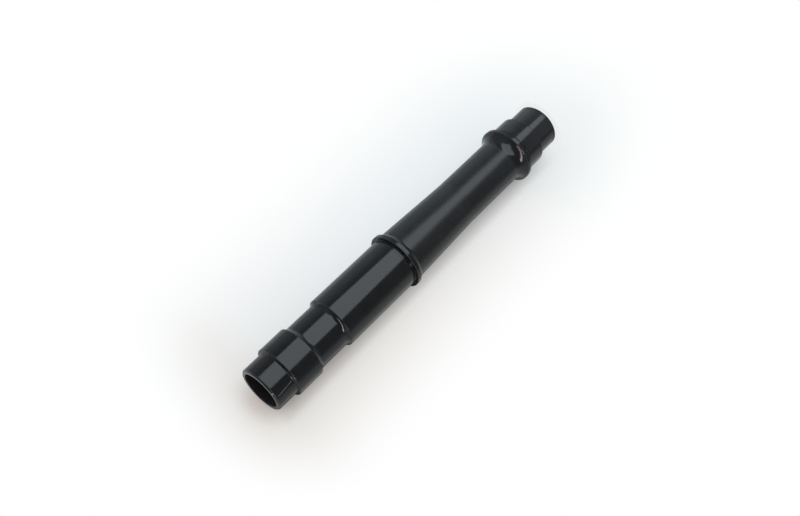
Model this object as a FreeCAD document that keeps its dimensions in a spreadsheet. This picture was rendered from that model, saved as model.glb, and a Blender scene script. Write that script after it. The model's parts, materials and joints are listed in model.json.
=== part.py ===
import FreeCAD, Part
import Sketcher
import math
import os

# Hollow axle of a bicycle's rear hub, turned from one bar of aluminium.
# It stands on its lower end: the origin is the centre of that end face and +Z runs up the axis.
# From the bottom up: end-cap stub, bearing seat, flange with a flared back, slim tube, long taper,
# collar, freehub seat with a necked waist, end-cap stub. A plain bore runs right through.
# Lengths are millimetres and heights are measured up from the lower end face.

dimensions = [
    ("total_length", 129.8, "overall length"),
    ("bore_diameter", 12.2, "bore, clear of a 12 mm through axle"),
    ("stub_diameter", 14.95, "end-cap stub at each end, a sliding fit in a 15 mm cap"),
    ("seat_diameter", 17.0, "bearing seats"),
    ("collar_diameter", 19.25, "rim of the collar"),
    ("flange_diameter", 19.4, "rim of the flange"),
    ("tube_diameter", 15.25, "slim part of the tube"),
    ("neck_diameter", 15.2, "necked waist in the freehub seat"),
    ("taper_angle", 2.2, "lean of the taper's side, in degrees"),
    ("lower_seat_bottom", 8.6, "height where the lower bearing seat starts"),
    ("flange_bottom", 16.6, "height of the flange face that stops the lower bearing"),
    ("flange_top", 17.9, "height of the flange's upper rim, where the flare starts"),
    ("taper_bottom", 43.4, "height where the taper starts"),
    ("collar_bottom", 71.35, "height of the collar's lower rim"),
    ("collar_top", 72.8, "height of the collar face that stops the upper bearing"),
    ("neck_bottom", 101.0, "height of the neck's lower edge"),
    ("neck_top", 113.45, "height of the neck's upper edge"),
    ("upper_seat_top", 122.55, "height where the upper stub starts"),
    ("flare_radius", 5.1, "hollow curve from the flange rim into the tube"),
    ("collar_radius", 1.7, "hollow curve from the collar rim into the taper"),
    ("neck_radius", 2.0, "hollow curve at each end of the neck"),
    ("root_radius", 0.3, "root of each stub at its shoulder"),
    ("relief_width", 1.1, "floor of the shallow relief beside each bearing stop"),
    ("relief_depth", 0.2, "depth of the reliefs"),
    ("relief_runout", 0.15, "slope from the relief back up to the seat"),
    ("end_chamfer", 0.45, "outer edge of both ends"),
    ("bore_chamfer", 0.12, "mouths of the bore"),
    ("seat_chamfer", 0.3, "outer edge of the seat beside each stub"),
    ("edge_break", 0.15, "edges of the collar, the flange and the neck"),
    ("tool_clearance", 1.0, "how far a groove's outline stands clear of the metal"),
]


class Length:
    # A length and the words of the expression that drives it. A length without words is left free.
    def __init__(self, value, words=None):
        self.value = value
        self.words = words

    def __add__(self, other):
        return Length(self.value + other.value, f"{self.words} + {other.words}")

    def __sub__(self, other):
        return Length(self.value - other.value, f"{self.words} - {other.words}")

    def half(self):
        return Length(self.value / 2, f"{self.words} / 2")


doc = FreeCAD.newDocument("HubAxle")
sheet = doc.addObject("Spreadsheet::Sheet", "Dimensions")
size = {}
for row, (alias, value, meaning) in enumerate(dimensions, start=1):
    sheet.set(f"A{row}", meaning)
    sheet.set(f"B{row}", str(value))
    sheet.setAlias(f"B{row}", alias)
    size[alias] = Length(value, f"Dimensions.{alias}")
doc.recompute()

body = doc.addObject("PartDesign::Body", "HubAxle")
body.Label = "hub_axle"
ROOT_POINT = (-1, 1)
LEVEL_AXIS = -1
UPRIGHT_AXIS = -2
SAME_LENGTH = 1e-4


def new_sketch(name, role):
    plane = next(feature for feature in body.Origin.OriginFeatures if feature.Role == role)
    sketch = body.newObject("Sketcher::SketchObject", name)
    sketch.AttachmentSupport = (plane, [""])
    sketch.MapMode = "FlatFace"
    return sketch


def drive(sketch, words, *constraint):
    index = sketch.addConstraint(Sketcher.Constraint(*constraint))
    sketch.setExpression(f"Constraints[{index}]", words)


def hollow_reach(radius, step):
    # How far along the axis a hollow curve runs while it climbs a step in radius.
    return math.sqrt(radius ** 2 - (radius - step) ** 2)


def outline(sketch, corners, curves):
    # Draws a closed half section. Each corner is (distance from the axis, height), and edge number n
    # runs from corner n to the next one. A curve is given by its edge: the corner where it runs on
    # smoothly into the neighbouring straight edge, and its radius. Its centre lies outside the metal.
    count = len(corners)
    points = [FreeCAD.Vector(across.value, height.value, 0) for across, height in corners]
    place = {}
    for edge in range(count):
        first = edge
        second = (edge + 1) % count
        if edge in curves:
            smooth, radius = curves[edge]
            centre = points[smooth] + FreeCAD.Vector(radius.value, 0, 0)
            turn = {}
            for corner in (first, second):
                arm = points[corner] - centre
                turn[corner] = math.atan2(arm.y, arm.x) % (2 * math.pi)
            start, end = sorted(turn, key=turn.get)
            circle = Part.Circle(centre, FreeCAD.Vector(0, 0, 1), radius.value)
            sketch.addGeometry(Part.ArcOfCircle(circle, turn[start], turn[end]), False)
            place[edge, start] = 1
            place[edge, end] = 2
        else:
            sketch.addGeometry(Part.LineSegment(points[first], points[second]), False)
            place[edge, first] = 1
            place[edge, second] = 2
    smooth_corners = [smooth for smooth, radius in curves.values()]
    for corner in range(count):
        before = (corner - 1) % count
        kind = "Tangent" if corner in smooth_corners else "Coincident"
        join = Sketcher.Constraint(kind, before, place[before, corner], corner, place[corner, corner])
        sketch.addConstraint(join)
    for edge, (smooth, radius) in curves.items():
        drive(sketch, radius.words, "Radius", edge, radius.value)
    for corner, (across, height) in enumerate(corners):
        point = (corner, place[corner, corner])
        for length, kind, axis in ((across, "DistanceX", UPRIGHT_AXIS), (height, "DistanceY", LEVEL_AXIS)):
            if length.value == 0:
                sketch.addConstraint(Sketcher.Constraint("PointOnObject", *point, axis))
            elif length.words:
                drive(sketch, length.words, kind, *ROOT_POINT, *point, length.value)


def checked(feature):
    # Rebuilds the model and stops on anything that failed.
    doc.recompute()
    for thing in doc.Objects:
        if "Invalid" in thing.State or "Error" in thing.State:
            raise RuntimeError(f"{thing.Name} failed: {thing.State}")
    if feature.Shape.isNull() or not feature.Shape.isValid():
        raise RuntimeError(f"{feature.Name} has no valid shape")
    return feature


def cut(feature, base):
    checked(feature)
    if feature.Shape.Volume >= base.Shape.Volume:
        raise RuntimeError(f"{feature.Name} removes no metal")
    return feature


def turned(kind, name, sketch):
    feature = body.newObject(kind, name)
    feature.Profile = sketch
    feature.ReferenceAxis = (sketch, ["V_Axis"])
    feature.Angle = 360
    return feature


def same_length(first, second):
    return math.isclose(first, second, abs_tol=SAME_LENGTH)


def ring_edges(base, *rings):
    # Names of the circular edges at the given (radius, height) pairs.
    names = []
    for radius, height in rings:
        for number, edge in enumerate(base.Shape.Edges, start=1):
            curve = edge.Curve
            if not isinstance(curve, Part.Circle):
                continue
            if same_length(curve.Radius, radius) and same_length(curve.Center.z, height):
                names.append(f"Edge{number}")
    if len(names) < len(rings):
        raise RuntimeError(f"{base.Name} lacks an edge of {rings}")
    return names


def dressed(kind, name, base, rings, measure, alias):
    feature = body.newObject(kind, name)
    feature.Base = (base, ring_edges(base, *rings))
    feature.setExpression(measure, size[alias].words)
    return checked(feature)


nothing = Length(0)
blunt = size["edge_break"]
stub = size["stub_diameter"].half()
seat = size["seat_diameter"].half()
tube = size["tube_diameter"].half()
neck = size["neck_diameter"].half()
collar = size["collar_diameter"].half()
flange = size["flange_diameter"].half()

# Outside of the turned bar
lean = math.radians(size["taper_angle"].value)
flare_reach = hollow_reach(size["flare_radius"].value, flange.value - blunt.value - tube.value)
flare_end = Length(size["flange_top"].value + flare_reach)
taper_run = size["collar_bottom"].value - size["taper_bottom"].value
taper_wide = tube.value + taper_run * math.tan(lean)
collar_reach = hollow_reach(size["collar_radius"].value, collar.value - blunt.value - taper_wide)
taper_end = Length(size["collar_bottom"].value - collar_reach)
taper_end_across = Length(taper_wide - collar_reach * math.tan(lean))
profile = new_sketch("OuterProfile", "XZ_Plane")
outline(profile, [
    (nothing, nothing),
    (stub, nothing),
    (stub, size["lower_seat_bottom"]),
    (seat, size["lower_seat_bottom"]),
    (seat, size["flange_bottom"]),
    (flange, size["flange_bottom"]),
    (flange, size["flange_top"] - blunt),
    (flange - blunt, size["flange_top"]),
    (tube, flare_end),
    (tube, size["taper_bottom"]),
    (taper_end_across, taper_end),
    (collar - blunt, size["collar_bottom"]),
    (collar, size["collar_bottom"] + blunt),
    (collar, size["collar_top"]),
    (seat, size["collar_top"]),
    (seat, size["upper_seat_top"]),
    (stub, size["upper_seat_top"]),
    (stub, size["total_length"]),
    (nothing, size["total_length"]),
], {7: (8, size["flare_radius"]), 10: (10, size["collar_radius"])})
TAPER_EDGE = 9
drive(profile, f"90 deg - {size['taper_angle'].words} * 1 deg", "Angle", TAPER_EDGE, math.pi / 2 - lean)
turning = checked(turned("PartDesign::Revolution", "Turning", profile))

# Necked waist in the freehub seat
neck_reach = hollow_reach(size["neck_radius"].value, seat.value - blunt.value - neck.value)
neck_sketch = new_sketch("NeckProfile", "XZ_Plane")
outline(neck_sketch, [
    (seat, size["neck_bottom"]),
    (seat - blunt, size["neck_bottom"] + blunt),
    (neck, Length(size["neck_bottom"].value + neck_reach)),
    (neck, Length(size["neck_top"].value - neck_reach)),
    (seat - blunt, size["neck_top"] - blunt),
    (seat, size["neck_top"]),
    (seat + size["tool_clearance"], size["neck_top"]),
    (seat + size["tool_clearance"], size["neck_bottom"]),
], {1: (2, size["neck_radius"]), 3: (3, size["neck_radius"])})
necked = cut(turned("PartDesign::Groove", "Neck", neck_sketch), turning)

# Shallow relief beside each bearing stop
upper_floor = size["collar_top"] + size["relief_width"]
upper_relief = new_sketch("UpperReliefProfile", "XZ_Plane")
outline(upper_relief, [
    (seat - size["relief_depth"], size["collar_top"]),
    (seat - size["relief_depth"], upper_floor),
    (seat, upper_floor + size["relief_runout"]),
    (seat + size["tool_clearance"], upper_floor + size["relief_runout"]),
    (seat + size["tool_clearance"], size["collar_top"]),
], {})
upper_relieved = cut(turned("PartDesign::Groove", "UpperRelief", upper_relief), necked)
lower_floor = size["flange_bottom"] - size["relief_width"]
lower_relief = new_sketch("LowerReliefProfile", "XZ_Plane")
outline(lower_relief, [
    (seat - size["relief_depth"], size["flange_bottom"]),
    (seat - size["relief_depth"], lower_floor),
    (seat, lower_floor - size["relief_runout"]),
    (seat + size["tool_clearance"], lower_floor - size["relief_runout"]),
    (seat + size["tool_clearance"], size["flange_bottom"]),
], {})
relieved = cut(turned("PartDesign::Groove", "LowerRelief", lower_relief), upper_relieved)

# Through bore
bore_radius = size["bore_diameter"].half()
bore_sketch = new_sketch("BoreCircle", "XY_Plane")
bore_circle = Part.Circle(FreeCAD.Vector(0, 0, 0), FreeCAD.Vector(0, 0, 1), bore_radius.value)
bore_sketch.addGeometry(bore_circle, False)
bore_sketch.addConstraint(Sketcher.Constraint("Coincident", 0, 3, *ROOT_POINT))
drive(bore_sketch, bore_radius.words, "Radius", 0, bore_radius.value)
bore = body.newObject("PartDesign::Pocket", "Bore")
bore.Profile = bore_sketch
bore.Type = "ThroughAll"
bore.Reversed = True
cut(bore, relieved)

# Roots and edges
top = size["total_length"].value
stub_roots = [(stub.value, size["lower_seat_bottom"].value), (stub.value, size["upper_seat_top"].value)]
end_rims = [(stub.value, 0.0), (stub.value, top)]
bore_mouths = [(bore_radius.value, 0.0), (bore_radius.value, top)]
seat_ends = [(seat.value, size["lower_seat_bottom"].value), (seat.value, size["upper_seat_top"].value)]
stop_rims = [(flange.value, size["flange_bottom"].value), (collar.value, size["collar_top"].value)]
rooted = dressed("PartDesign::Fillet", "StubRoots", bore, stub_roots, "Radius", "root_radius")
ended = dressed("PartDesign::Chamfer", "EndRims", rooted, end_rims, "Size", "end_chamfer")
mouthed = dressed("PartDesign::Chamfer", "BoreMouths", ended, bore_mouths, "Size", "bore_chamfer")
led_in = dressed("PartDesign::Chamfer", "SeatEnds", mouthed, seat_ends, "Size", "seat_chamfer")
dressed("PartDesign::Chamfer", "StopRims", led_in, stop_rims, "Size", "edge_break")

checked(body)
if len(body.Shape.Solids) != 1:
    raise RuntimeError("the axle is not one solid")
os.makedirs("parts", exist_ok=True)
body.Shape.exportStep(os.path.join("parts", f"{body.Label}.step"))
print(f"{body.Label}: {body.Shape.Volume:.1f} mm3, {len(body.Shape.Faces)} faces")
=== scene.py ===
import json
import math

import bpy
import numpy as np
from mathutils import Matrix, Vector


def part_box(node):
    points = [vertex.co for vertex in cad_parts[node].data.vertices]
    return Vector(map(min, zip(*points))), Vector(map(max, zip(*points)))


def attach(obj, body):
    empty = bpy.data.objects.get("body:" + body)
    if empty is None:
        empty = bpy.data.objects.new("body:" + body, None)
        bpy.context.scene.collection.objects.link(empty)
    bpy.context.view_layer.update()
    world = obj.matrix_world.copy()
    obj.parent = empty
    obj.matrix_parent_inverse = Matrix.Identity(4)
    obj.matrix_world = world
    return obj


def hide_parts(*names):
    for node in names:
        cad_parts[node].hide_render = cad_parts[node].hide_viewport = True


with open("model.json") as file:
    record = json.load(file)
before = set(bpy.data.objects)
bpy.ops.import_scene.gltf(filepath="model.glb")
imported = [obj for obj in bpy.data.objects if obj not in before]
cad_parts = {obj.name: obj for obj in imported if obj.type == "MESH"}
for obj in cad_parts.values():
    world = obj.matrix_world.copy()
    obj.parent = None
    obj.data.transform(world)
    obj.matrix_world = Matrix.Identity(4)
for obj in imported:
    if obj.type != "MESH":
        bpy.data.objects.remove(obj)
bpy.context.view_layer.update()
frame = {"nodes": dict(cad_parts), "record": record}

millimetre = 0.001
mountSize = {mount["name"]: mount["dims"] for mount in frame["record"]["mounts"]}
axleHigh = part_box("hub_axle")[1] / millimetre
print("frame loaded:", sorted(frame["nodes"]))

facing = math.radians(45.0)  # azimuth of the axle's front, with the pale backdrop behind the axle
outward = np.array([math.sin(facing), -math.cos(facing), 0.0])
sideways = np.array([math.cos(facing), math.sin(facing), 0.0])
upward = np.array([0.0, 0.0, 1.0])
plainWhite = (1, 1, 1, 1)


# Shader maths: wraps one socket, so that 1 - mask * 0.5 adds its own Math nodes
class Wire:
    def __init__(self, tree, socket=None):
        self.tree = tree
        self.socket = socket

    def node(self, kind, settings=None, sockets=None, output=0):
        made = self.tree.nodes.new(kind)
        for name, value in (settings or {}).items():
            setattr(made, name, value)
        for name, value in (sockets or {}).items():
            if isinstance(value, Wire):
                self.tree.links.new(value.socket, made.inputs[name])
            else:
                made.inputs[name].default_value = value
        return Wire(self.tree, made.outputs[output] if len(made.outputs) else None)

    def maths(self, operation, first, second=0.0):
        return self.node("ShaderNodeMath", {"operation": operation}, {0: first, 1: second})

    def __add__(self, other):
        return self.maths("ADD", self, other)

    def __radd__(self, other):
        return self.maths("ADD", other, self)

    def __sub__(self, other):
        return self.maths("SUBTRACT", self, other)

    def __rsub__(self, other):
        return self.maths("SUBTRACT", other, self)

    def __mul__(self, other):
        return self.maths("MULTIPLY", self, other)

    def __rmul__(self, other):
        return self.maths("MULTIPLY", other, self)

    def between(self, low, high, start=0.0, end=1.0):  # smooth step from start to end
        return self.node("ShaderNodeMapRange", {"interpolation_type": "SMOOTHSTEP"},
                         {"Value": self, "From Min": low, "From Max": high, "To Min": start, "To Max": end})

    # This value as the share of the second colour: a Mix node has its colours at 6, 7 and output 2
    def blend(self, first, second):
        return self.node("ShaderNodeMix", {"data_type": "RGBA"}, {0: self, 6: first, 7: second}, 2)

    def along(self, direction):  # how far this vector reaches along a direction
        return self.node("ShaderNodeVectorMath", {"operation": "DOT_PRODUCT"},
                         {0: self, 1: tuple(direction)}, "Value")

    def scaled(self, factor):  # this vector times a number
        return self.node("ShaderNodeVectorMath", {"operation": "SCALE"}, {0: self, "Scale": factor})


def newMaterial(name):
    material = bpy.data.materials.new(name)
    material.use_nodes = True
    material.node_tree.nodes.clear()
    wire = Wire(material.node_tree)
    inMillimetres = wire.node("ShaderNodeTexCoord", output="Object").scaled(1 / millimetre)
    return material, wire, inMillimetres


def newMesh(name, points, faces):
    mesh = bpy.data.meshes.new(name)
    mesh.from_pydata((np.asarray(points) * millimetre).tolist(), [], np.asarray(faces).tolist())
    mesh.update()
    piece = bpy.data.objects.new(name, mesh)
    bpy.context.scene.collection.objects.link(piece)
    return piece


# The turned axle, in millimetres: distances from the axis, then heights up from the lower end
axle = {
    "bore": mountSize["through_bore"]["r_mm"], "stub": mountSize["upper_stub"]["r_mm"],
    "seat": mountSize["lower_seat"]["r_mm"], "flange": axleHigh.x,
    "collar": 9.625, "tube": 7.625, "neck": 7.6,
    "length": axleHigh.z, "lowerSeatBottom": 8.6, "flangeBottom": 16.6, "flangeTop": 17.9,
    "taperBottom": 43.4, "collarBottom": 71.35, "collarTop": 72.8,
    "neckBottom": 101.0, "neckTop": 113.45, "upperSeatTop": 122.55,
    "lean": math.radians(2.2), "flareRadius": 5.1, "collarRadius": 1.7, "neckRadius": 2.0, "rootRadius": 0.3,
    "reliefWidth": 1.1, "reliefDepth": 0.2, "reliefRunout": 0.15,
    "endChamfer": 0.45, "boreChamfer": 0.12, "seatChamfer": 0.3, "edgeBreak": 0.15,
    "edgeRound": 0.06, "softRound": 0.12, "taperRound": 20.0,  # finish rounds
    "hollowShare": 0.97,  # of a hollow's radius, which leaves a hair of straight before the rim's own round
    "hollowFrom": 1.0,  # a wider round than this is a hollow, with more steps and no worn edge
    "arcSteps": 5, "hollowSteps": 16, "segments": 288,
    "support": 0.15, "supportRoom": 4,  # a side shorter than this many supports gets no support points
}


# Where the straight line of a wall would meet the tangent of a hollow curve that climbs to a rim:
# with step the rim's distance off the wall and reach the run of the curve,
# reach^2 = radius^2 - (radius - step)^2, the tangents cross step * (radius - step) / reach short of the rim
def hollowCorner(wallPoint, wallDirection, rim, radius):
    offset = np.subtract(rim, wallPoint)
    run = offset @ wallDirection
    step = abs(offset[0] * wallDirection[1] - offset[1] * wallDirection[0])
    reach = math.sqrt(radius ** 2 - (radius - step) ** 2)
    return np.add(wallPoint, wallDirection * (run - step * (radius - step) / reach))


# Corners of the half section, from the lower end's bore mouth out, up the outside and down the bore:
# distance from the axis, height, round, and 1 where the side that follows is satin
def axleCorners(cut):
    blunt, crisp, soft = cut["edgeBreak"], cut["edgeRound"], cut["softRound"]
    flare, hollow, waist = [cut["hollowShare"] * cut[name]
                            for name in ("flareRadius", "collarRadius", "neckRadius")]
    taper = np.array([math.sin(cut["lean"]), math.cos(cut["lean"])])
    up = np.array([0.0, 1.0])
    lowRun = cut["flangeBottom"] - cut["reliefWidth"]
    highRun = cut["collarTop"] + cut["reliefWidth"]
    reliefFloor = cut["seat"] - cut["reliefDepth"]
    flareRim = (cut["flange"] - blunt, cut["flangeTop"])
    collarRim = (cut["collar"] - blunt, cut["collarBottom"])
    neckLow = (cut["seat"] - blunt, cut["neckBottom"] + blunt)
    neckHigh = (cut["seat"] - blunt, cut["neckTop"] - blunt)
    taperStart = (cut["tube"], cut["taperBottom"])
    neckWall = (cut["neck"], (cut["neckBottom"] + cut["neckTop"]) / 2)
    corners = [
        (cut["bore"] + cut["boreChamfer"], 0, crisp, 0),
        (cut["stub"] - cut["endChamfer"], 0, crisp, 0),
        (cut["stub"], cut["endChamfer"], soft, 0),
        (cut["stub"], cut["lowerSeatBottom"], cut["rootRadius"], 0),
        (cut["seat"] - cut["seatChamfer"], cut["lowerSeatBottom"], crisp, 0),
        (cut["seat"], cut["lowerSeatBottom"] + cut["seatChamfer"], soft, 0),
        (cut["seat"], lowRun - cut["reliefRunout"], crisp, 0),
        (reliefFloor, lowRun, crisp, 0),
        (reliefFloor, cut["flangeBottom"], soft, 0),
        (cut["flange"] - blunt, cut["flangeBottom"], crisp, 0),
        (cut["flange"], cut["flangeBottom"] + blunt, crisp, 0),
        (cut["flange"], cut["flangeTop"] - blunt, crisp, 0),
        (*flareRim, crisp, 0),
        (*hollowCorner(taperStart, -up, flareRim, cut["flareRadius"]), flare, 1),
        (*taperStart, cut["taperRound"], 1),
        (*hollowCorner(taperStart, taper, collarRim, cut["collarRadius"]), hollow, 0),
        (*collarRim, crisp, 0),
        (cut["collar"], cut["collarBottom"] + blunt, crisp, 0),
        (cut["collar"], cut["collarTop"] - blunt, crisp, 0),
        (cut["collar"] - blunt, cut["collarTop"], crisp, 0),
        (reliefFloor, cut["collarTop"], soft, 0),
        (reliefFloor, highRun, crisp, 0),
        (cut["seat"], highRun + cut["reliefRunout"], crisp, 0),
        (cut["seat"], cut["neckBottom"], crisp, 0),
        (*neckLow, crisp, 0),
        (*hollowCorner(neckWall, -up, neckLow, cut["neckRadius"]), waist, 0),
        (*hollowCorner(neckWall, up, neckHigh, cut["neckRadius"]), waist, 0),
        (*neckHigh, crisp, 0),
        (cut["seat"], cut["neckTop"], crisp, 0),
        (cut["seat"], cut["upperSeatTop"] - cut["seatChamfer"], soft, 0),
        (cut["seat"] - cut["seatChamfer"], cut["upperSeatTop"], crisp, 0),
        (cut["stub"], cut["upperSeatTop"], cut["rootRadius"], 0),
        (cut["stub"], cut["length"] - cut["endChamfer"], soft, 0),
        (cut["stub"] - cut["endChamfer"], cut["length"], crisp, 0),
        (cut["bore"] + cut["boreChamfer"], cut["length"], crisp, 0),
        (cut["bore"], cut["length"] - cut["boreChamfer"], crisp, 1),
        (cut["bore"], cut["boreChamfer"], crisp, 0),
    ]
    return np.array(corners, float)


# The half section as one closed line. Each corner becomes an arc that touches both of its sides,
# radius * tan(turn / 2) from the corner, and each side gets a support point close to each of its ends.
# The outward normal is the line's direction turned clockwise.
def halfSection(corners, cut):
    place = corners[:, :2]
    toNext = np.roll(place, -1, 0) - place
    sideLength = np.linalg.norm(toNext, axis=1)
    toNext /= sideLength[:, None]
    toHere = np.roll(toNext, 1, 0)
    turn = np.arctan2(toHere[:, 0] * toNext[:, 1] - toHere[:, 1] * toNext[:, 0], (toHere * toNext).sum(1))
    touch = corners[:, 2] * np.tan(np.abs(turn) / 2)
    points, tangents, worn, satin = [], [], [], []
    for i in range(len(corners)):
        hollowed = corners[i, 2] > cut["hollowFrom"]
        sweep = np.linspace(0, abs(turn[i]), cut["hollowSteps"] if hollowed else cut["arcSteps"])[:, None]
        inward = np.array([-toHere[i, 1], toHere[i, 0]]) * np.sign(turn[i])
        centre = place[i] - toHere[i] * touch[i] + inward * corners[i, 2]
        arc = centre - inward * corners[i, 2] * np.cos(sweep) + toHere[i] * corners[i, 2] * np.sin(sweep)
        points.append(arc)
        tangents.append(toHere[i] * np.cos(sweep) + inward * np.sin(sweep))
        worn.append(np.full(len(arc), float(turn[i] > 0 and not hollowed)))  # only edges that stand out
        satin.append(np.full(len(arc), corners[i, 3] * corners[i - 1, 3]))
        free = sideLength[i] - touch[i] - touch[(i + 1) % len(corners)]
        if free > cut["supportRoom"] * cut["support"]:
            ends = np.array([touch[i] + cut["support"], touch[i] + free - cut["support"]])[:, None]
            points.append(place[i] + toNext[i] * ends)
            tangents.append(np.repeat(toNext[i][None], 2, 0))
            worn.append(np.zeros(2))
            satin.append(np.full(2, corners[i, 3]))
    points = np.concatenate(points)
    tangents = np.concatenate(tangents)
    normals = np.stack([tangents[:, 1], -tangents[:, 0]], 1)
    return points, normals, np.concatenate(worn), np.concatenate(satin)


# Carries the half section round the axis: a point at distance r and height z goes to (r cos t, r sin t, z)
def turnAxle(cut):
    section, sectionNormals, worn, satin = halfSection(axleCorners(cut), cut)
    rings = len(section)
    count = cut["segments"]
    angle = np.linspace(0, 2 * np.pi, count, endpoint=False)
    around = np.stack([np.cos(angle), np.sin(angle)], 1)
    points = np.empty((rings, count, 3))
    points[..., :2] = section[:, None, :1] * around[None]
    points[..., 2] = section[:, None, 1]
    normals = np.empty_like(points)
    normals[..., :2] = sectionNormals[:, None, :1] * around[None]
    normals[..., 2] = sectionNormals[:, None, 1]
    ring, step = np.meshgrid(np.arange(rings), np.arange(count), indexing="ij")
    above = (ring + 1) % rings
    beside = (step + 1) % count
    corner = [ring * count + step, ring * count + beside, above * count + beside, above * count + step]
    faces = np.stack(corner, -1).reshape(-1, 4)
    piece = newMesh("turned_axle", points.reshape(-1, 3), faces)
    mesh = piece.data
    mesh.polygons.foreach_set("use_smooth", np.ones(len(faces), bool))
    for name, value in (("worn", worn), ("satin", satin)):
        layer = mesh.attributes.new(name, "FLOAT", "POINT")
        layer.data.foreach_set("value", np.repeat(value, count).astype(np.float32))
    mesh.normals_split_custom_set_from_vertices(normals.reshape(-1, 3).tolist())
    return piece


# Finish of the axle, in millimetres on the surface and in degrees round it from the front.
# A range runs from its first number to its second, and two more are the values at those ends.
finish = {
    "darkest": (0.0108, 0.0122, 0.0138, 1), "palest": (0.0152, 0.0168, 0.0186, 1),
    # The nicks' core colour is bare metal with a painted glint
    "worn": (0.050, 0.051, 0.053, 1), "scratched": (0.24, 0.24, 0.235, 1), "bare": (0.58, 0.575, 0.56, 1),
    # The bore's colour is painted light: lighter than the outside, on the same black anodising
    "speck": (0.075, 0.075, 0.072, 1), "inside": (0.068, 0.058, 0.062, 1),
    "boreWall": (axle["bore"] + 0.02, axle["bore"] + 0.1, 1.0, 0.0),
    "reflection": 1.5, "polished": 0.13, "satin": 0.27,

    # Noise, and how far each kind moves the shade, the roughness and the surface
    "grooves": {"Scale": 6.0, "Detail": 3.0, "Roughness": 0.6}, "bands": {"Scale": 0.7, "Detail": 2.0},
    "cloud": {"Scale": 0.16, "Detail": 4.0}, "grain": {"Scale": 3.2, "Detail": 2.0}, "dots": {"Scale": 0.42},
    "noiseMiddle": 0.5, "cloudRange": (0.35, 0.65), "cloudShade": 0.65, "bandShade": 0.35,
    "cloudRough": 0.06, "bandRough": 0.06, "grooveRough": 0.05, "rubRough": 0.12, "markRough": 0.3,
    "toolLostInSatin": 0.8, "grooveRise": 0.35, "grainRise": 0.25, "bumpDepth": 0.0012,
    "speckSize": (0.035, 0.055, 1.0, 0.0), "speckCloud": (0.5, 0.6), "rubGrain": (0.40, 0.66, 0.15, 0.75),

    # The pale mark from one height and turn to another, and the nicks with painted glints: radius, height,
    # turn and size
    "markFrom": (122.9, -54.3), "markTo": (129.1, -60.3), "markGrain": (0.3, 0.6, 0.4, 1.0),
    "markHalfWidth": 0.14, "markCore": 0.3, "markFade": 0.6, "nickCore": 0.4,
    "markOnStub": (axle["stub"] - 0.5, axle["stub"] - 0.3),
    "nicks": [(7.15, 129.65, -47.3, 0.42), (7.6, 122.6, -49.0, 0.22), (8.3, 122.45, -51.5, 0.2)],
}


# A fine pale mark that leans as it runs along the upper stub: how far off its line a point lies is
# its reach along the tangent at the mark's middle, less lean * height off that middle
def paleMark(wire, inMillimetres, height, look):
    (low, lowTurn), (high, highTurn) = look["markFrom"], look["markTo"]
    turn = math.radians((lowTurn + highTurn) / 2)
    lean = axle["stub"] * math.radians(highTurn - lowTurn) / (high - low)
    normal = outward * math.cos(turn) + sideways * math.sin(turn)
    tangent = sideways * math.cos(turn) - outward * math.sin(turn)
    aside = wire.maths("ABSOLUTE", inMillimetres.along(tangent) - (height - (low + high) / 2) * lean)
    onLine = aside.between(look["markCore"] * look["markHalfWidth"], look["markHalfWidth"], 1.0, 0.0)
    onStub = inMillimetres.along(normal).between(*look["markOnStub"])
    starts = height.between(low, low + look["markFade"])
    ends = height.between(high - look["markFade"], high, 1.0, 0.0)
    return onLine * onStub * (starts * ends)


# Small nicks with painted glints: round spots, bare metal with a painted glint at the core, fading to
# nothing at their full size
def nickGlintSpots(wire, inMillimetres, look):
    spots = []
    for reach, high, turn, size in look["nicks"]:
        around = outward * math.cos(math.radians(turn)) + sideways * math.sin(math.radians(turn))
        place = tuple(around * reach + upward * high)
        gap = wire.node("ShaderNodeVectorMath", {"operation": "DISTANCE"},
                        {0: inMillimetres, 1: place}, "Value")
        spots.append(gap.between(look["nickCore"] * size, size, 1.0, 0.0))
    return sum(spots)


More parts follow.
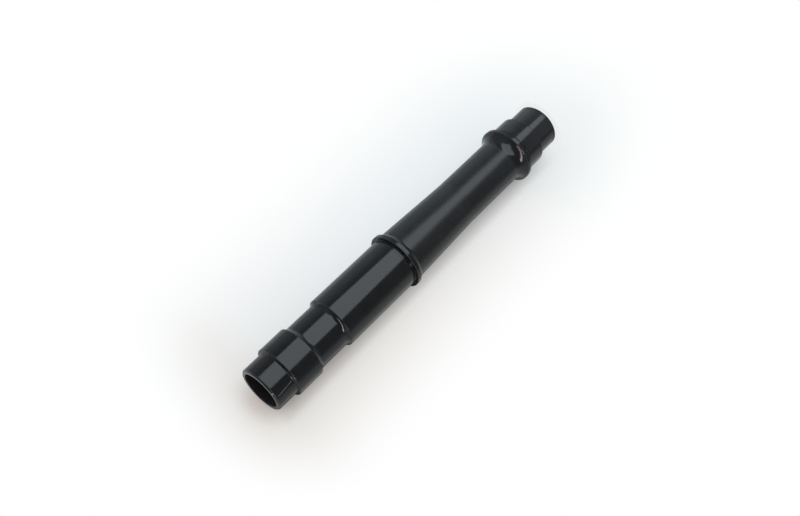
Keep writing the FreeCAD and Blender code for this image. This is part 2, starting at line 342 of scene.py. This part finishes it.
def blackAnodised(look):
    material, wire, inMillimetres = newMaterial("black_anodised")
    height = inMillimetres.along(upward)
    flat = wire.node("ShaderNodeVectorMath", {"operation": "MULTIPLY"}, {0: inMillimetres, 1: (1, 1, 0)})
    radius = wire.node("ShaderNodeVectorMath", {"operation": "LENGTH"}, {0: flat}, "Value")
    worn, satin = [wire.node("ShaderNodeAttribute", {"attribute_name": name}, output="Fac")
                   for name in ("worn", "satin")]

    # Tool marks run round the axle, so they depend only on height plus distance from the axis
    travel = height + radius
    roundAxis = {"noise_dimensions": "1D"}
    grooves, bands = [wire.node("ShaderNodeTexNoise", roundAxis, {"W": travel, **look[name]})
                      for name in ("grooves", "bands")]

    # Uneven dye, a fine grain and a few pale specks
    cloud, grain = [wire.node("ShaderNodeTexNoise", {}, {"Vector": inMillimetres, **look[name]})
                    for name in ("cloud", "grain")]
    dots = wire.node("ShaderNodeTexVoronoi", {}, {"Vector": inMillimetres, **look["dots"]}, "Distance")
    specks = dots.between(*look["speckSize"]) * cloud.between(*look["speckCloud"])
    dye = cloud.between(*look["cloudRange"]) * look["cloudShade"] + bands * look["bandShade"]

    rubbed = worn * grain.between(*look["rubGrain"])
    mark = paleMark(wire, inMillimetres, height, look) * grain.between(*look["markGrain"])
    nicks = nickGlintSpots(wire, inMillimetres, look)
    shade = dye.blend(look["darkest"], look["palest"])
    # Rubbed edges get the worn colour, and the mark a pale colour
    shade = mark.blend(rubbed.blend(shade, look["worn"]), look["scratched"])
    # Nicks: bare metal with a painted glint at the core
    shade = nicks.blend(specks.blend(shade, look["speck"]), look["bare"])
    # Painted light in the bore: its wall gets the lighter colour
    shade = radius.between(*look["boreWall"]).blend(shade, look["inside"])

    smooth = satin.between(0.0, 1.0, look["polished"], look["satin"])
    turned = 1 - satin * look["toolLostInSatin"]
    middle = look["noiseMiddle"]
    toolMarks = ((bands - middle) * look["bandRough"] + (grooves - middle) * look["grooveRough"]) * turned
    # Rougher on rubbed edges, on the pale mark and on the nicks
    wornAndMarked = rubbed * look["rubRough"] + (mark + nicks) * look["markRough"]
    rough = smooth + toolMarks + (cloud - middle) * look["cloudRough"] + wornAndMarked
    rise = grooves * turned * look["grooveRise"] + grain * look["grainRise"]
    relief = wire.node("ShaderNodeBump", {}, {"Height": rise, "Distance": look["bumpDepth"] * millimetre})
    shader = wire.node("ShaderNodeBsdfPrincipled", {}, {
        "Base Color": shade, "Roughness": rough, "IOR": look["reflection"], "Normal": relief})
    wire.node("ShaderNodeOutputMaterial", {}, {"Surface": shader})
    return material


turnedAxle = turnAxle(axle)
turnedAxle.data.materials.append(blackAnodised(finish))
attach(turnedAxle, "root")
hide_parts("hub_axle")
print("axle turned:", len(turnedAxle.data.polygons), "faces")


# Rays that look straight at the stage see it white, and reflections see some of that
def seenPale(wire, inReflections):
    camera, glossy, through = [wire.node("ShaderNodeLightPath", output=f"Is {kind} Ray")
                               for kind in ("Camera", "Glossy", "Transmission")]
    return camera + through + glossy * inReflections


# A disc under the foot that keeps its contact shadow and thins out to nothing at the rim
floorPatch = {
    "solid": 7.2, "radius": 10.0, "sides": 96,
    "colour": (0.82, 0.82, 0.82, 1), "pale": 0.8, "inReflections": 0.3,
}


def makeFloor(patch):
    turns = np.linspace(0, 2 * np.pi, patch["sides"], endpoint=False)
    rim = np.stack([np.cos(turns), np.sin(turns), np.zeros_like(turns)], 1) * patch["radius"]
    floor = newMesh("floor", rim, [list(range(patch["sides"]))])
    material, wire, inMillimetres = newMaterial("pale_floor")
    reach = wire.node("ShaderNodeVectorMath", {"operation": "LENGTH"}, {0: inMillimetres}, "Value")
    lit = wire.node("ShaderNodeBsdfDiffuse", {}, {"Color": patch["colour"]})
    white = wire.node("ShaderNodeEmission", {}, {"Color": plainWhite})
    clear = wire.node("ShaderNodeBsdfTransparent")
    whiteness = seenPale(wire, patch["inReflections"]) * patch["pale"]
    pale = wire.node("ShaderNodeMixShader", {}, {0: whiteness, 1: lit, 2: white})
    thinned = reach.between(patch["solid"], patch["radius"])
    faded = wire.node("ShaderNodeMixShader", {}, {0: thinned, 1: pale, 2: clear})
    wire.node("ShaderNodeOutputMaterial", {}, {"Surface": faded})
    floor.data.materials.append(material)
    return floor


# A wall that touches the flange, clear from behind, with painted light and shade near the axle and pure
# white a little way from it.
# Ranges run across from the axis (Side), up from the lower end (Foot, Rise, Top) or away from the axle
# (Reach), and two more numbers are the values at a range's ends.
wall = {
    "half": 1500.0,

    # What counts as away: nearer on the light's side, and by a slope past the top and the low start
    "lightSide": (-10.0, 30.0, 1.0, 0.68),
    "topStart": 122.8, "topSlope": 1.26, "lowStart": 16.0, "lowSlope": 0.55,

    # How much of the white shows near the axle: less of it lets the darker lit wall and the lamps' real
    # shadow through, which paints shade round the axle, deepest at the contact
    "glowReach": (-5.0, 40.0, 0.46, 1.0), "contactReach": (3.0, 9.6, 0.52, 1.0),

    # What the lamps light, with light and shade painted into its colour: a painted warm to cool tint across,
    # painted shade far to one side, and a painted shadow under the axle
    "warm": (0.86, 0.835, 0.775, 1), "cool": (0.86, 0.90, 0.91, 1), "coolSide": (-25.0, 25.0),
    "dark": (0.16, 0.16, 0.16, 1), "darkSide": (-75.0, -18.0, 1.0, 0.0),
    "shadow": (0.24, 0.228, 0.205, 1), "shadowFoot": (0.0, 10.0), "shadowRise": (20.0, 90.0, 0.7, 1.0),
    "shadowOuterSide": (-10.5, -7.5), "shadowInnerSide": (-6.0, 0.0, 1.0, 0.0),
    "shadowTop": (axle["length"] - 3.0, axle["length"] + 1.0, 1.0, 0.0),

    # Tones of the white, painted light and shade: a blush of painted warm shade on the shaded side, frost of
    # painted cool light on the open side, and a painted shade by the top end
    "blush": (1.0, 0.958, 0.918, 1), "blushReach": (8.0, 34.0, 1.0, 0.0), "blushRise": (10.0, 120.0),
    "blushSide": (-8.0, 2.0, 1.0, 0.0), "blushTop": (112.0, 128.0),
    "frost": (0.965, 0.992, 1.0, 1), "frostReach": (15.0, 48.0, 1.0, 0.0), "frostSide": (0.0, 12.0),
    "frostRise": (30.0, 110.0, 1.0, 0.25), "frostFoot": (5.0, 25.0, 1.0, 0.0),
    "endShade": (0.755, 0.668, 0.625, 1), "endAcross": 1.5, "endBelow": 1.0, "endWide": 12.0, "endLong": 8.0,

    # How white reflections see it: beside the axle, close under it, far out, above its top and behind it
    "besideInReflections": 0.125, "closeInReflections": 0.49, "aboveInReflections": 0.9,
    "behindInReflections": 0.95, "closeOuterSide": (-15.5, -11.5), "closeInnerSide": (-9.8, -7.2, 1.0, 0.0),
    "farSide": (40.0, 100.0, 0.0, 0.16), "aboveSide": (-2.0, 9.0, 0.6, 1.0),
    "aboveTop": (axle["length"], axle["length"] + 4.0), "behindSide": (1.0, 4.5, 1.0, 0.0),
    "behindTop": (axle["length"] - 1.0, axle["length"] + 0.6, 1.0, 0.15),
}


# Distance from the axle: the square root of aside^2 + beyond^2, with beyond the run past either end
def awayFromAxle(wire, across, height, size):
    overTop = (height - size["topStart"]) * size["topSlope"]
    pastFoot = (size["lowStart"] - height) * size["lowSlope"]
    beyond = wire.maths("MAXIMUM", wire.maths("MAXIMUM", overTop, pastFoot), 0.0)
    aside = across * across.between(*size["lightSide"])
    return wire.maths("SQRT", aside * aside + beyond * beyond)


# Colour of the wall where the lamps light it, with painted warm and cool light, painted shade to one side
# and a painted shadow under the axle
def litTint(across, height, size):
    tint = across.between(*size["coolSide"]).blend(size["warm"], size["cool"])
    tint = across.between(*size["darkSide"]).blend(tint, size["dark"])
    # A painted shadow in a band under the axle, lighter low down and fading out at both ends
    under = across.between(*size["shadowOuterSide"]) * across.between(*size["shadowInnerSide"])
    for name in ("shadowRise", "shadowFoot", "shadowTop"):
        under = under * height.between(*size[name])
    return under.blend(tint, size["shadow"])


# Colour of its white, as the camera and reflections see it, with painted warm shade, painted cool light and
# a painted shadow by the top end
def whiteTone(wire, across, height, away, size):
    shaded = wire.maths("MAXIMUM", across.between(*size["blushSide"]), height.between(*size["blushTop"]))
    blush = away.between(*size["blushReach"]) * shaded * height.between(*size["blushRise"])
    unshaded = wire.maths("MAXIMUM", across.between(*size["frostSide"]), height.between(*size["frostFoot"]))
    frost = away.between(*size["frostReach"]) * unshaded * height.between(*size["frostRise"])
    tone = blush.blend(frost.blend(plainWhite, size["frost"]), size["blush"])
    # A painted shadow in an oval by the top end
    endAside = (across - size["endAcross"]) * (1 / size["endWide"])
    endAlong = (height - (axle["length"] - size["endBelow"])) * (1 / size["endLong"])
    nearEnd = wire.maths("SQRT", endAside * endAside + endAlong * endAlong).between(0.0, 1.0, 1.0, 0.0)
    return nearEnd.blend(tone, size["endShade"])


# Share of the white that reflections see
def whiteInReflections(wire, across, height, size):
    close = across.between(*size["closeOuterSide"]) * across.between(*size["closeInnerSide"])
    beside = size["besideInReflections"] + close * size["closeInReflections"]
    beside = beside + across.between(*size["farSide"])
    above = height.between(*size["aboveTop"]) * across.between(*size["aboveSide"])
    return wire.maths("MAXIMUM", beside, above * size["aboveInReflections"])


def makeBackdrop(size):
    half = size["half"]
    corners = [sideways * across + upward * height - outward * axle["flange"]
               for across, height in ((-half, -half), (half, -half), (half, half), (-half, half))]
    backdrop = newMesh("backdrop", corners, [[0, 1, 2, 3]])
    material, wire, inMillimetres = newMaterial("pale_backdrop")
    across = inMillimetres.along(sideways)
    height = inMillimetres.along(upward)
    away = awayFromAxle(wire, across, height, size)
    lit = wire.node("ShaderNodeBsdfDiffuse", {}, {"Color": litTint(across, height, size)})
    white = wire.node("ShaderNodeEmission", {}, {"Color": whiteTone(wire, across, height, away, size)})
    clear = wire.node("ShaderNodeBsdfTransparent")
    # Less white near the axle and at its contact paints shade round the axle
    glow = away.between(*size["glowReach"]) * away.between(*size["contactReach"])
    whiteness = seenPale(wire, whiteInReflections(wire, across, height, size)) * glow
    pale = wire.node("ShaderNodeMixShader", {}, {0: whiteness, 1: lit, 2: white})

    # Reflections see the strip right behind the axle white as well
    behind = wire.maths("ABSOLUTE", across).between(*size["behindSide"]) * height.between(*size["behindTop"])
    glossy = wire.node("ShaderNodeLightPath", output="Is Glossy Ray")
    mirrored = glossy * behind * size["behindInReflections"]
    whiteBehind = wire.node("ShaderNodeMixShader", {}, {0: mirrored, 1: pale, 2: white})
    back = wire.node("ShaderNodeNewGeometry", output="Backfacing")
    oneSided = wire.node("ShaderNodeMixShader", {}, {0: back, 1: whiteBehind, 2: clear})
    wire.node("ShaderNodeOutputMaterial", {}, {"Surface": oneSided})
    backdrop.data.materials.append(material)
    return backdrop


# A light that the camera doesn't see, with one colour low down and another high up
def makeLight(name, points, faces, size):
    light = newMesh(name, points, faces)
    material, wire, inMillimetres = newMaterial(name)
    colour = inMillimetres.along(upward).between(*size["fade"]).blend(size["lowColour"], size["highColour"])
    glow = wire.node("ShaderNodeEmission", {}, {"Color": colour, "Strength": size["strength"]})
    wire.node("ShaderNodeOutputMaterial", {}, {"Surface": glow})
    light.data.materials.append(material)
    light.visible_camera = False
    return light


# The overhead panel: its outline down from the axle's top end and across, a little brighter far down
panel = {
    "height": 250.0, "strength": 2.2, "fade": (-150.0, 60.0),
    "lowColour": (0.90, 0.966, 1.015, 1), "highColour": (0.79, 0.85, 0.895, 1),
    "outline": [(405, -40), (297, 8), (255, 26), (230, 46), (205, 54), (172, 96), (152, 101), (130, 118),
                (62, 121), (58, 88), (25, 50), (-8, 30), (-48, -2), (-48, -25), (-25, -48), (26, -68),
                (30, -140), (46, -200), (50, -261), (60, -256), (140, -214), (190, -183), (235, -139),
                (275, -120), (307, -100)],
}


def makePanel(size):
    middle = outward * (size["height"] - axle["flange"]) + upward * axle["length"]
    corners = [middle + sideways * across - upward * down for down, across in size["outline"]]
    return makeLight("soft_panel", corners, [list(range(len(corners)))], size)


# A low warm strip beside the axle: outward, sideways and up at its start, middle and end, and its height.
# Its line bends through the middle: (1 - t)^2 start + 2 t (1 - t) bend + t^2 end,
# with bend = 2 middle - (start + end) / 2
warmStrip = {
    "start": (115, -60, 290), "middle": (75, -170, 235), "end": (20, -245, 95), "height": 42.0, "steps": 24,
    "strength": 8.5, "fade": (95.0, 290.0),
    "lowColour": (1.0, 0.87, 0.83, 1), "highColour": (0.58, 0.505, 0.48, 1),
}


def makeStrip(size):
    start, middle, end = [outward * out + sideways * side + upward * up
                          for out, side, up in (size["start"], size["middle"], size["end"])]
    bend = 2 * middle - (start + end) / 2
    t = np.linspace(0, 1, size["steps"])[:, None]
    line = (1 - t) ** 2 * start + 2 * t * (1 - t) * bend + t ** 2 * end
    edge = outward * size["height"] / 2
    step = np.arange(size["steps"] - 1)
    faces = np.stack([step, step + 1, step + 1 + size["steps"], step + size["steps"]], 1)
    strip = makeLight("warm_strip", np.concatenate([line - edge, line + edge]), faces, size)
    strip.visible_diffuse = False
    return strip


# A dim room for reflections, with down the sine of the angle below level: brighter low down and to one
# side, and dim again straight below
room = {
    "colour": (0.95, 1.0, 1.05), "dim": 0.115, "level": 0.27, "lowGlow": 0.2, "inReflections": 0.02,
    "sideGlow": 0.30, "sideRise": 0.25, "sideLean": 0.9, "sideRange": (0.55, 1.05),
    "highDown": (0.0, 0.3, 0.22, 0.0), "highSide": (-0.1, 0.5),
    "deepDown": (0.55, 0.62, 0.0, 0.4), "steepDown": (0.64, 0.85, 1.0, 0.2),
}


def makeWorld(size):
    world = bpy.data.worlds.new("pale_world")
    world.use_nodes = True
    world.node_tree.nodes.clear()
    bpy.context.scene.world = world
    wire = Wire(world.node_tree)
    ray = wire.node("ShaderNodeTexCoord", output="Generated")
    side = ray.along(sideways)
    down = ray.along(-upward)
    low = down - size["level"]
    aside = (side + size["sideLean"] * low).between(*size["sideRange"])
    beside = wire.maths("MAXIMUM", size["sideGlow"] + size["sideRise"] * low, 0.0) * aside
    high = down.between(*size["highDown"]) * side.between(*size["highSide"])
    below = size["dim"] + size["lowGlow"] * wire.maths("MAXIMUM", low, 0.0) + down.between(*size["deepDown"])
    glow = beside + high + below * down.between(*size["steepDown"])
    colour = wire.node("ShaderNodeVectorMath", {"operation": "SCALE"}, {0: size["colour"], "Scale": glow})
    dim = wire.node("ShaderNodeBackground", {}, {"Color": colour})
    white = wire.node("ShaderNodeBackground", {}, {"Color": plainWhite})
    whiteness = seenPale(wire, size["inReflections"])
    mixed = wire.node("ShaderNodeMixShader", {}, {0: whiteness, 1: dim, 2: white})
    wire.node("ShaderNodeOutputWorld", {}, {"Surface": mixed})


makeFloor(floorPatch)
makeBackdrop(wall)
makePanel(panel)
makeStrip(warmStrip)
makeWorld(room)
print("stage set")


# The camera: round the axle, up, and rolled so that the axle lies across the picture
lens = {
    "azimuth": 22.1096, "elevation": 24.9158, "roll": -133.8341, "distance": 297.092,
    "aim": (0.0831, -0.7855, 70.8886), "focal": 44.0578, "sensor": 36.0, "clip": (0.005, 10.0),
}


def placeCamera(view):
    camera = bpy.data.cameras.new("camera")
    camera.lens = view["focal"]
    camera.sensor_width = view["sensor"]
    camera.clip_start, camera.clip_end = view["clip"]
    holder = bpy.data.objects.new("camera", camera)
    bpy.context.scene.collection.objects.link(holder)
    azimuth, elevation, roll = [math.radians(view[name]) for name in ("azimuth", "elevation", "roll")]
    level = Vector((math.sin(azimuth), -math.cos(azimuth), 0)) * math.cos(elevation)
    back = level + Vector((0, 0, math.sin(elevation)))
    turn = (-back).to_track_quat("-Z", "Y").to_matrix() @ Matrix.Rotation(roll, 3, "Z")
    spot = (Vector(view["aim"]) + back * view["distance"]) * millimetre
    holder.matrix_world = Matrix.Translation(spot) @ turn.to_4x4()
    bpy.context.scene.camera = holder


placeCamera(lens)
bpy.context.scene.view_settings.view_transform = "Standard"
print("camera placed")
